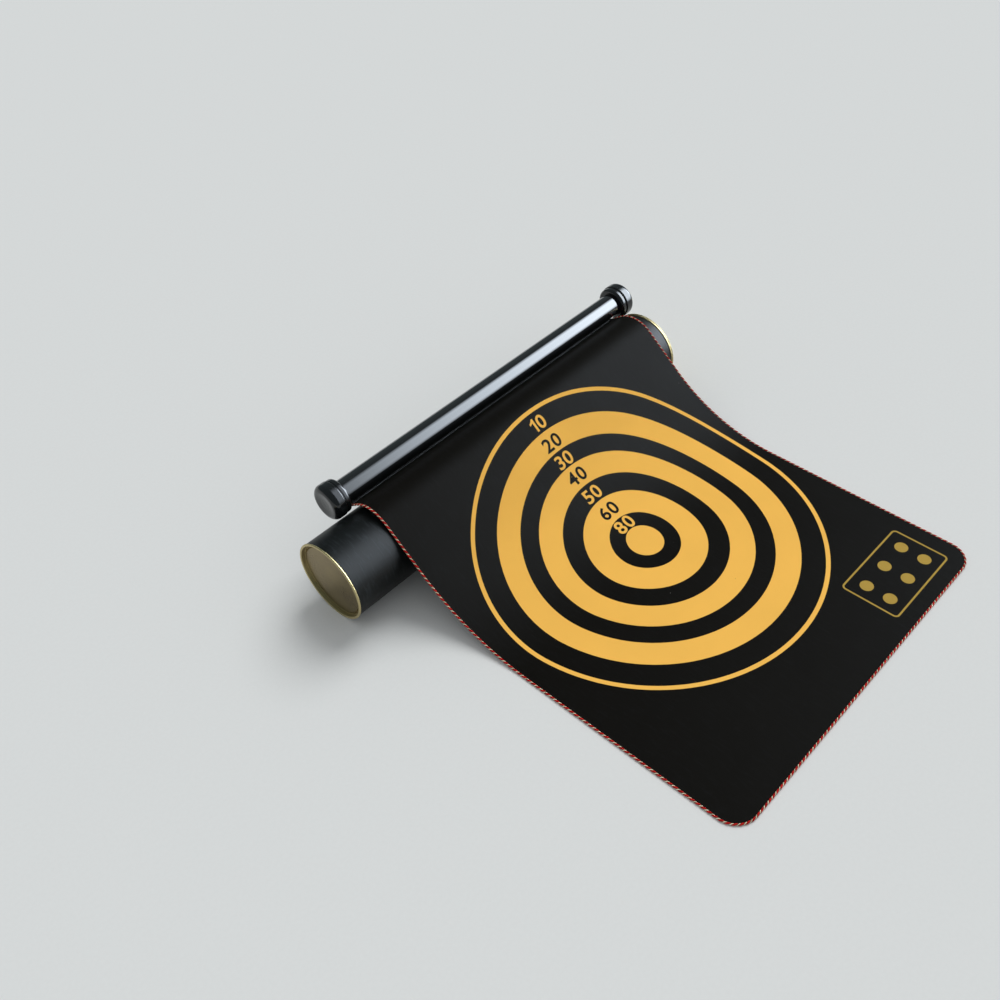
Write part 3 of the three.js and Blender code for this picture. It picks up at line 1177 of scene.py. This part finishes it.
# ---- The mat --------------------------------------------------------------------------------
@dataclass
class Mat:
    """The printed magnetic sheet, in segments."""

    segments: Segments
    finish: SheetFinish
    target: Target
    clock: Clock
    half_width: float = (200 - 2.6) * MM
    inset: float = 2.6 * MM
    corner: float = 24 * MM
    row_step: float = 1.3 * MM
    columns: int = 16

    TOP, UNDER, CUT, GOLD, BLACK = range(5)

    def rows(self, number: int) -> Array:
        """The rows of one segment, closer together round the corners of the free edge.

        Args:
            number: The segment.

        Returns:
            Their distances from the free edge.
        """
        start, end = self.segments.cuts()[number:number + 2]
        if number == 0:
            turn = np.linspace(0, math.pi / 2, 15)
            arc = self.inset + (self.corner - self.inset) * (1 - np.cos(turn))
            return np.concatenate([arc, np.linspace(self.corner, end, 12)[1:]])
        return np.linspace(start, end, max(2, math.ceil((end - start) / self.row_step)) + 1)

    def edge_of(self, t: Array) -> tuple[Array, Array]:
        """The sheet's outline: straight sides, and round corners at the free edge.

        Args:
            t: Distances from the free edge.

        Returns:
            Half the width there, and the outward normal of the edge as (x, t).
        """
        radius = self.corner - self.inset
        short = np.clip(self.corner - t, 0, radius)
        reach = np.sqrt(radius ** 2 - short ** 2)
        return self.half_width - radius + reach, np.stack([reach, -short], -1) / radius

    def lay_out(self, piece: Piece, number: int) -> None:
        """Adds the sheet of one segment: two faces, two long edges and two ends.

        Args:
            piece: The piece.
            number: The segment.
        """
        rows = self.rows(number)
        half, edge = self.edge_of(rows)
        thickness = self.segments.drape.thickness
        x = half[:, None] * np.linspace(-1, 1, self.columns + 1)
        t = np.broadcast_to(rows[:, None], x.shape)
        for slot, height, facing in ((self.TOP, thickness, 1.0), (self.UNDER, 0.0, -1.0)):
            flat = np.dstack([x, t, np.full_like(x, height)])
            self._wrap(piece, flat, np.broadcast_to([0, 0, facing], flat.shape), slot)
        heights = np.array([0.0, thickness])
        for way in (-1, 1):
            flat = np.dstack([np.repeat(way * half[:, None], 2, 1), np.repeat(rows[:, None], 2, 1),
                              np.broadcast_to(heights, (len(rows), 2))])
            facing = np.concatenate([way * edge[:, :1], edge[:, 1:], np.zeros((len(rows), 1))], 1)
            self._wrap(piece, flat, np.repeat(facing[:, None], 2, 1), self.CUT)
        for row, way in ((0, -1.0), (-1, 1.0)):
            flat = np.dstack([np.repeat(x[row][:, None], 2, 1), np.full((self.columns + 1, 2), rows[row]),
                              np.broadcast_to(heights, (self.columns + 1, 2))])
            self._wrap(piece, flat, np.broadcast_to([0, way, 0], flat.shape), self.CUT)

    def _wrap(self, piece: Piece, flat: Array, facing: Array, slot: int) -> None:
        """Wraps a flat grid onto the drape and adds it."""
        drape = self.segments.drape
        piece.add_grid(drape.wrap(flat), drape.turn(facing, flat[..., 1]), flat[..., :2], slot)

    def letterings(self) -> list[tuple[int, Lettering]]:
        """Writes the numbers of both faces.

        Returns:
            The material slot and the ink of each.
        """
        drape = self.segments.drape
        gold, black = (Lettering(Side.TARGET, drape.thickness) for _ in range(2))
        for text, along, is_gold in self.target.numbers:
            ink = gold if is_gold else black
            spot = (self.target.centre[0] + self.target.number_shift, along * MM)
            ink.write(text, spot, self.target.number_height)
        clock = Lettering(Side.CLOCK, drape.thickness, weight=0.03)
        for place, value in enumerate(self.clock.order):
            turn = 2 * math.pi * place / len(self.clock.order)
            centre = (self.clock.centre[0] - self.clock.number_radius * math.sin(turn),
                      self.clock.centre[1] + self.clock.number_radius * math.cos(turn))
            clock.write(str(value), centre, self.clock.number_height, turn)
        return [(self.GOLD, gold), (self.BLACK, black), (self.GOLD, clock)]

    def build(self) -> None:
        """Builds every segment, and attaches the first and last to their bodies."""
        drape = self.segments.drape
        materials = [self.target.material(self.finish), self.clock.material(self.finish),
                     self.finish.plain("sheet_edge"), self.finish.numeral("number_gold", self.finish.gold),
                     self.finish.numeral("number_black", self.finish.black)]
        letterings = self.letterings()
        last = len(self.segments.cuts()) - 2
        for number in range(last + 1):
            piece = Piece(f"mat_segment_{number:02d}")
            self.lay_out(piece, number)
            for slot, lettering in letterings:
                ink = lettering.segment(self.rows(number))
                if ink is not None:
                    flat, facing, triangles = ink
                    quads = np.concatenate([triangles, triangles[:, 2:]], 1)
                    facing = drape.turn(facing, flat[..., 1])
                    piece.add_faces(drape.wrap(flat), facing, flat[..., :2], quads, slot)
            made = piece.build(materials)
            self.segments.attach(made, number)
            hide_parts(self._node(number, last))
            LOG.info("%s: %d faces", made.name, len(made.data.polygons))

    @staticmethod
    def _node(number: int, last: int) -> str:
        """The CAD panel that a segment stands for.

        Args:
            number: The segment.
            last: The last segment.

        Returns:
            The panel's node.
        """
        if number == 0:
            return "mat_front_panel"
        return "mat_roller_panel" if number == last else f"mat_panel_{min(number, last - 2):02d}"


@dataclass
class EdgeCord:
    """The twisted cord round three edges of the mat.

    It runs down the left edge, along the free edge and up the right edge. Its distance s is
    measured along it from the middle of the free edge.
    """

    segments: Segments
    finish: CordFinish
    half_width: float = 200 * MM
    corner: float = 24 * MM
    inset: float = 1.6 * MM
    radius: float = 1.1 * MM
    pitch: float = 5.6 * MM
    red_share: float = 0.62
    cream_share: tuple[float, float] = (0.67, 0.92)
    core: float = 0.62
    cream_height: float = 0.26
    fullness: float = 0.6
    around: int = 20
    steps_per_turn: int = 12

    def distance_at(self, t: float) -> float:
        """The distance along the cord where its straight side run is t from the free edge."""
        bend = self.corner - self.inset
        return self.half_width - self.corner + bend * math.pi / 2 + t - self.corner

    def plan(self, s: Array) -> tuple[Array, Array]:
        """The cord's line in the flat frame: straight, a quarter circle, straight on each side.

        Args:
            s: Distances along the cord.

        Returns:
            Points (x, t) and outward normals (x, t).
        """
        way, far = np.sign(s), np.abs(s)
        bend = self.corner - self.inset
        front = self.half_width - self.corner
        angle = np.clip((far - front) / bend, 0, math.pi / 2)
        beyond = np.maximum(far - front - bend * math.pi / 2, 0)
        x = way * (np.minimum(far, front) + bend * np.sin(angle))
        t = self.corner - bend * np.cos(angle) + beyond
        return np.stack([x, t], -1), np.stack([way * np.sin(angle), -np.cos(angle)], -1)

    def section(self) -> tuple[Array, Array]:
        """The section of the strands: a lobe for red and for cream, as wide as each one's share.

        Returns:
            The share of a turn, and the radius there.
        """
        share = np.linspace(0, 1, self.around + 1)
        start, end = self.cream_share
        red = np.sin(np.clip(share / self.red_share, 0, 1) * math.pi)
        cream = np.sin(np.clip((share - start) / (end - start), 0, 1) * math.pi)
        lobes = (1 - self.core) * np.maximum(red, 0) ** self.fullness
        lobes += self.cream_height * np.maximum(cream, 0) ** self.fullness
        return share, self.radius * (self.core + lobes)

    def add_run(self, piece: Piece, start: float, end: float) -> None:
        """Adds the cord from one distance to another, closed at both ends.

        Args:
            piece: The piece.
            start: The lower distance.
            end: The higher distance.
        """
        drape = self.segments.drape
        s = np.linspace(start, end, max(3, math.ceil((end - start) / self.pitch * self.steps_per_turn)) + 1)
        line, outward = self.plan(s)
        share, radius = self.section()
        angle = 2 * math.pi * (share + s[:, None] / self.pitch)
        reach = radius * np.cos(angle)
        sideways = line[:, None] + reach[..., None] * outward[:, None]
        flat = np.dstack([sideways, self.radius + radius * np.sin(angle)])
        places = np.dstack([np.broadcast_to(share, angle.shape), np.broadcast_to(s[:, None], angle.shape)])
        surface = drape.wrap(flat)
        core = drape.wrap(np.concatenate([line, np.full((len(s), 1), self.radius)], 1))
        facing = smooth_normals(surface, True)
        facing *= np.sign(((surface - core[:, None]) * facing).sum(-1, keepdims=True))
        piece.add_grid(surface, facing, places)
        for row, inner in ((0, 1), (-1, -2)):
            away = core[row] - core[inner]
            disc = np.stack([surface[row], np.broadcast_to(core[row], surface[row].shape)])
            out = np.broadcast_to(away / np.linalg.norm(away), disc.shape)
            piece.add_grid(disc, out, np.stack([places[row], places[row]]))

    def build(self) -> None:
        """Builds the cord of every segment, and attaches the first and last to their bodies."""
        material = self.finish.material(self.red_share, self.cream_share)
        cuts = self.segments.cuts()
        for number, (start, end) in enumerate(zip(cuts[:-1], cuts[1:])):
            piece = Piece(f"edge_cord_{number:02d}")
            near, far = self.distance_at(start), self.distance_at(end)
            if number == 0:
                self.add_run(piece, -far, far)
            else:
                self.add_run(piece, -far, -near)
                self.add_run(piece, near, far)
            made = piece.build([material])
            self.segments.attach(made, number)
            if number == 0:
                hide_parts("edge_cord")
            LOG.info("%s: %d faces", made.name, len(made.data.polygons))

    def length(self) -> float:
        """The length of the whole cord."""
        return 2 * self.distance_at(self.segments.cuts()[-1])


# ---- The roller -----------------------------------------------------------------------------
@dataclass
class Roller:
    """The roller tube, its two knobs and the tape under it."""

    finish: GlossFinish
    tape: TapeFinish
    tube_radius: float = 12.7 * MM
    tube_wall: float = 1.8 * MM
    cap_radius: float = 19 * MM
    cap_length: float = 20 * MM
    cap_shoulder: float = 6 * MM
    cap_dish: float = 0.9 * MM
    flange_radius: float = 18.2 * MM
    flange_length: float = 6 * MM
    groove_radius: float = 17.5 * MM
    groove_length: float = 1 * MM
    spigot: float = 18 * MM
    spigot_radius: float = 10.6 * MM

    def tube(self, low: Vector, high: Vector, material: bpy.types.Material) -> bpy.types.Object:
        """The tube, a ring profile turned about the roller's axis.

        Args:
            low: The lowest corner of the CAD tube's box.
            high: The highest corner.
            material: The plastic.

        Returns:
            The piece.
        """
        end, bore, bevel = high.x - low.x, self.tube_radius - self.tube_wall, 0.25 * MM
        ring = Turning([(0, self.tube_radius, bevel), (end, self.tube_radius, bevel),
                        (end, bore, bevel), (0, bore, bevel)], closed=True, arc_steps=3)
        piece = Piece("roller_tube_turned")
        ring.add_to(piece, ((low.y + high.y) / 2, (low.z + high.z) / 2), low.x)
        return piece.build([material])

    def cap(self, node: str, way: int, material: bpy.types.Material) -> bpy.types.Object:
        """One knob: a spigot, a flange, a groove, a band with a round shoulder and a dished face.

        Args:
            node: The CAD cap that it stands for.
            way: 1 for the right-hand end and -1 for the left.
            material: The plastic.

        Returns:
            The object.
        """
        low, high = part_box(node)
        face = high.x if way > 0 else low.x
        length, flange = self.cap_length, self.flange_length
        groove_end = flange + self.groove_length
        dish_edge = self.cap_radius - self.cap_shoulder - 0.7 * MM
        knob = Turning([
            (-self.spigot, 0, 0),
            (-self.spigot, self.spigot_radius, 0.6 * MM),
            (0, self.spigot_radius, 0.2 * MM),
            (0, self.flange_radius, 3.2 * MM),
            (flange, self.flange_radius, 0.5 * MM),
            (flange, self.groove_radius, 0.15 * MM),
            (groove_end, self.groove_radius, 0.15 * MM),
            (groove_end, self.cap_radius, 1.3 * MM),
            (length, self.cap_radius, self.cap_shoulder),
            (length, dish_edge, 0.6 * MM),
            (length - 0.75 * self.cap_dish, dish_edge / 2, 9 * MM),
            (length - self.cap_dish, 0, 0),
        ], arc_steps=10)
        piece = Piece(f"{node}_knob")
        knob.add_to(piece, ((low.y + high.y) / 2, (low.z + high.z) / 2), face - way * length, way)
        return piece.build([material])

    def build(self) -> None:
        """Builds the roller's pieces and attaches them."""
        tube_gloss = self.finish.material("roller_gloss", coat=0.5, haze=0.0)
        cap_gloss = self.finish.material("cap_gloss", coat=0.05, haze=0.07)
        made = [(self.tube(*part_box("roller_tube"), tube_gloss), "roller_tube")]
        for node, way in (("end_cap_left", -1), ("end_cap_right", 1)):
            made.append((self.cap(node, way, cap_gloss), node))
        for piece, node in made:
            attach(piece, "roller")
            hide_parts(node)
            LOG.info("%s: %d faces", piece.name, len(piece.data.polygons))
        dress(frame["nodes"]["adhesive_tape"], self.tape.material())


def dress(node: bpy.types.Object, material: bpy.types.Material) -> None:
    """Gives a CAD node its material."""
    node.data.materials.clear()
    node.data.materials.append(material)


# ---- The canister ---------------------------------------------------------------------------
@dataclass
class Canister:
    """The storage canister: a board tube, a seamed base, a ring round its mouth and a plug lid."""

    paper: PaperFinish
    tin: TinFinish
    radius: float = 42.5 * MM
    wall: float = 1.2 * MM
    rim_step: float = 0.8 * MM
    rim_width: float = 2 * MM
    lid_flange: float = 1 * MM
    sheet: float = 0.6 * MM
    panel: float = 4.5 * MM
    plug: float = 11 * MM
    gap: float = 0.3 * MM
    segments: int = 160

    @property
    def bore(self) -> float:
        """The radius of the tube's bore."""
        return self.radius - self.rim_step - self.wall

    def end(self, chuck: float, flange: float, skirt: float) -> Turning:
        """A tinplate end: skirt, rolled rim, wall down to a groove, and a slightly raised panel.

        Args:
            chuck: The radius of the wall that reaches into the canister.
            flange: The rim's width along the axis.
            skirt: How far the wall reaches in.

        Returns:
            Its profile, from the inside over the rim to the middle of the panel.
        """
        sheet, panel = self.sheet, self.panel
        groove, rise = 2.2 * MM, 1.1 * MM
        roll = 0.45 * min(flange, 2.2 * MM)
        return Turning([
            (-panel - sheet + rise, 0, 0),
            (-panel - sheet + rise, chuck - sheet - groove - 0.4 * MM, 0.5 * MM),
            (-panel - sheet, chuck - sheet - groove + 0.4 * MM, 0.4 * MM),
            (-panel - sheet, chuck - sheet, 0.2 * MM),
            (-skirt, chuck - sheet, 0.2 * MM),
            (-skirt, chuck, 0.2 * MM),
            (-flange, chuck, 0.2 * MM),
            (-flange, self.radius, roll),
            (0, self.radius, roll),
            (0, chuck - 0.1 * MM, roll * 0.9),
            (-panel, chuck - sheet, 0.6 * MM),
            (-panel, chuck - sheet - groove, 0.5 * MM),
            (-panel + rise, chuck - sheet - groove - 0.9 * MM, 0.7 * MM),
            (-panel + rise, 0, 0),
        ])

    def build(self) -> None:
        """Builds the canister's pieces and attaches them."""
        low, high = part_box("canister_body")
        axis = ((low.y + high.y) / 2, (low.z + high.z) / 2)
        tin = self.tin.material(Vector((0, *axis)))
        made = [
            (self._tube(low.x, high.x, axis), "canister_body", "canister", "canister_black"),
            (self._end("canister_base", -1, axis, tin), "canister_base", "canister", "tin_gold"),
            (self._ring(axis, tin), "canister_ring", "canister", "tin_gold"),
            (self._end("canister_lid", 1, axis, tin), "canister_lid", "canister_lid", "tin_gold"),
        ]
        for piece, node, body, slot in made:
            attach(piece, body)
            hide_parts(node)
            LOG.info("%s: %d faces", piece.name, len(piece.data.polygons))

    def _tube(self, start: float, end: float, axis: tuple[float, float]) -> bpy.types.Object:
        """The board tube: laminated paper outside, bare board inside and at its ends.

        Args:
            start: Where it starts along +X.
            end: Where it ends.
            axis: The y and z of the canister's axis.

        Returns:
            The piece.
        """
        outside, bevel, half = self.radius - self.rim_step, 0.3 * MM, self.wall / 2
        piece = Piece("canister_tube")
        skin = Turning([(0, outside - half, 0), (0, outside, bevel), (end - start, outside, bevel),
                        (end - start, outside - half, 0)], arc_steps=3)
        core = Turning([(end - start, outside - half, 0), (end - start, self.bore, bevel),
                        (0, self.bore, bevel), (0, outside - half, 0)], arc_steps=3)
        skin.add_to(piece, axis, start, segments=self.segments, slot=0)
        core.add_to(piece, axis, start, segments=self.segments, slot=1)
        return piece.build([self.paper.outside(), self.paper.inside()])

    def _end(self, node: str, way: int, axis: tuple[float, float],
             tin: bpy.types.Material) -> bpy.types.Object:
        """The base or the lid.

        Args:
            node: The CAD end that it stands for.
            way: 1 for the right-hand end and -1 for the left.
            axis: The y and z of the canister's axis.
            tin: The tinplate.

        Returns:
            The piece.
        """
        low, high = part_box(node)
        if way < 0:
            profile = self.end(self.bore - self.gap, self.rim_width, self.panel + 2 * self.sheet)
        else:
            profile = self.end(self.bore - 2 * self.gap, self.lid_flange, self.plug)
        piece = Piece(f"{node}_tin")
        profile.add_to(piece, axis, high.x if way > 0 else low.x, way, self.segments)
        return piece.build([tin])

    def _ring(self, axis: tuple[float, float], tin: bpy.types.Material) -> bpy.types.Object:
        """The ring round the mouth, rolled outwards.

        Args:
            axis: The y and z of the canister's axis.
            tin: The tinplate.

        Returns:
            The piece.
        """
        low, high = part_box("canister_ring")
        width, roll, inner = high.x - low.x, 0.8 * MM, self.bore - self.gap
        profile = Turning([(0, self.radius, roll), (width, self.radius, roll), (width, inner, 0.3 * MM),
                           (0, inner, 0.3 * MM)], closed=True)
        piece = Piece("canister_mouth_ring")
        profile.add_to(piece, axis, low.x, segments=self.segments)
        return piece.build([tin])


# ---- The studio -----------------------------------------------------------------------------
@dataclass
class Studio:
    """A pale floor, soft light and the camera."""

    eye: tuple[float, float, float] = (-0.6118, -0.1746, 0.79498)
    heading: float = math.radians(44.235)
    dip: float = math.radians(44.393)
    roll: float = math.radians(3.683)
    focal_length: float = 38.726
    floor_size: float = 24.0
    fill: Colour = (0.485, 0.4925, 0.50)
    dark: Colour = (0.17, 0.21, 0.225)
    window: Colour = (12.8, 14.2, 15.8)
    window_edge: float = 0.50
    window_softness: float = 0.32
    window_middle: tuple[float, float] = (-0.667, 0.745)
    window_half: float = 0.74
    half_softness: float = 0.30

    def camera(self) -> None:
        """Places the camera: heading clockwise from +Y, dip below the horizon, roll clockwise.

        The eye is measured from the middle of the mat's free edge.
        """
        edge = Vector((middle("edge_cord").x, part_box("edge_cord")[0].y, 0))
        forward = Vector((math.sin(self.heading) * math.cos(self.dip),
                          math.cos(self.heading) * math.cos(self.dip), -math.sin(self.dip)))
        level = Vector((math.cos(self.heading), -math.sin(self.heading), 0))
        down = forward.cross(level)
        right = level * math.cos(self.roll) + down * math.sin(self.roll)
        up = right.cross(forward)
        data = bpy.data.cameras.new("camera")
        data.lens = self.focal_length
        data.sensor_width = 36.0
        camera = bpy.data.objects.new("camera", data)
        turn = Matrix((right, up, -forward)).transposed().to_4x4()
        camera.matrix_world = Matrix.Translation(edge + Vector(self.eye)) @ turn
        bpy.context.scene.collection.objects.link(camera)
        bpy.context.scene.camera = camera

    def floor(self) -> None:
        """Lays the floor just under the mat."""
        half = self.floor_size / 2
        corner = np.array([[-half, half]])
        x, y = np.meshgrid(corner, corner)
        points = np.dstack([x, y, np.full_like(x, -0.12 * MM)])
        piece = Piece("floor")
        piece.add_grid(points, np.broadcast_to([0.0, 0, 1], points.shape), points[..., :2])
        graph = Graph("floor_paint")
        grain = graph.noise(graph.surface_place(), 300, 2)
        colour = graph.mix(grain, (0.70, 0.72, 0.715), (0.73, 0.75, 0.745))
        floor = piece.build([graph.finish(Base_Color=colour, Roughness=0.8, Specular_IOR_Level=0.0)])

    def light(self, name: str, kind: str, direction: tuple[float, float, float], energy: float,
              **settings: Any) -> bpy.types.Object:
        """Adds a light that shines from a direction onto the object.

        Args:
            name: Its name.
            kind: SUN or AREA.
            direction: Where it is, seen from the object; its length is its distance.
            energy: Its strength.
            settings: The light's other settings.

        Returns:
            The light.
        """
        data = bpy.data.lights.new(name, kind)
        data.energy = energy
        for key, value in settings.items():
            setattr(data, key, value)
        light = bpy.data.objects.new(name, data)
        light.location = direction
        light.rotation_euler = (-Vector(direction)).to_track_quat("-Z", "Y").to_euler()
        bpy.context.scene.collection.objects.link(light)
        return light

    def room(self) -> None:
        """The room's soft light: even, but in reflections dark with one tall window.

        The window glows where a direction's share of +X passes a soft edge, within an angle of its
        middle as seen along X.
        """
        world = bpy.data.worlds.new("room")
        graph = Graph("room", world)
        x, y, z = graph.split(graph.node("TexCoord").outputs["Generated"])
        level, upright = self.window_middle
        towards = (y * level + z * upright) / graph.math("SQRT", y * y + z * z)
        glow = graph.edge(x, self.window_edge, self.window_softness)
        glow = glow * graph.edge(towards, self.window_half, self.half_softness)
        colour = graph.mix(glow, self.dark, self.window)
        rays = graph.node("LightPath")
        mirrored = rays.outputs["Is Glossy Ray"]
        shade = graph.mix(mirrored, self.fill, colour)
        background = graph.node("Background", None, {"Color": shade, "Strength": 1.0})
        graph.node("OutputWorld", None, {"Surface": background.outputs[0]})
        bpy.context.scene.world = world

    def build(self) -> None:
        """Sets the camera, the floor and the lights."""
        self.camera()
        self.floor()
        sun = self.light("soft_key", "SUN", (3.0, 0.8, 4.0), 1.75, angle=math.radians(38))
        sun.visible_glossy = False
        self.room()
        bpy.context.scene.view_settings.view_transform = "Standard"


def main() -> None:
    """Builds the dartboard and the studio, and reports each piece."""
    logging.basicConfig(level=logging.INFO, format="%(name)s: %(message)s")
    Studio().build()
    strips = sorted(name for name in frame["bodies"] if name.startswith("mat_strip_"))
    segments = Segments(Drape.from_frame(), ["mat_front", *strips, "roller"])
    Mat(segments, SheetFinish(), Target(), Clock()).build()
    cord = EdgeCord(segments, CordFinish())
    cord.build()
    LOG.info("edge cord %.0f mm long", cord.length() / MM)
    Roller(GlossFinish(), TapeFinish()).build()
    Canister(PaperFinish(), TinFinish()).build()


if __name__ == "__main__":
    main()
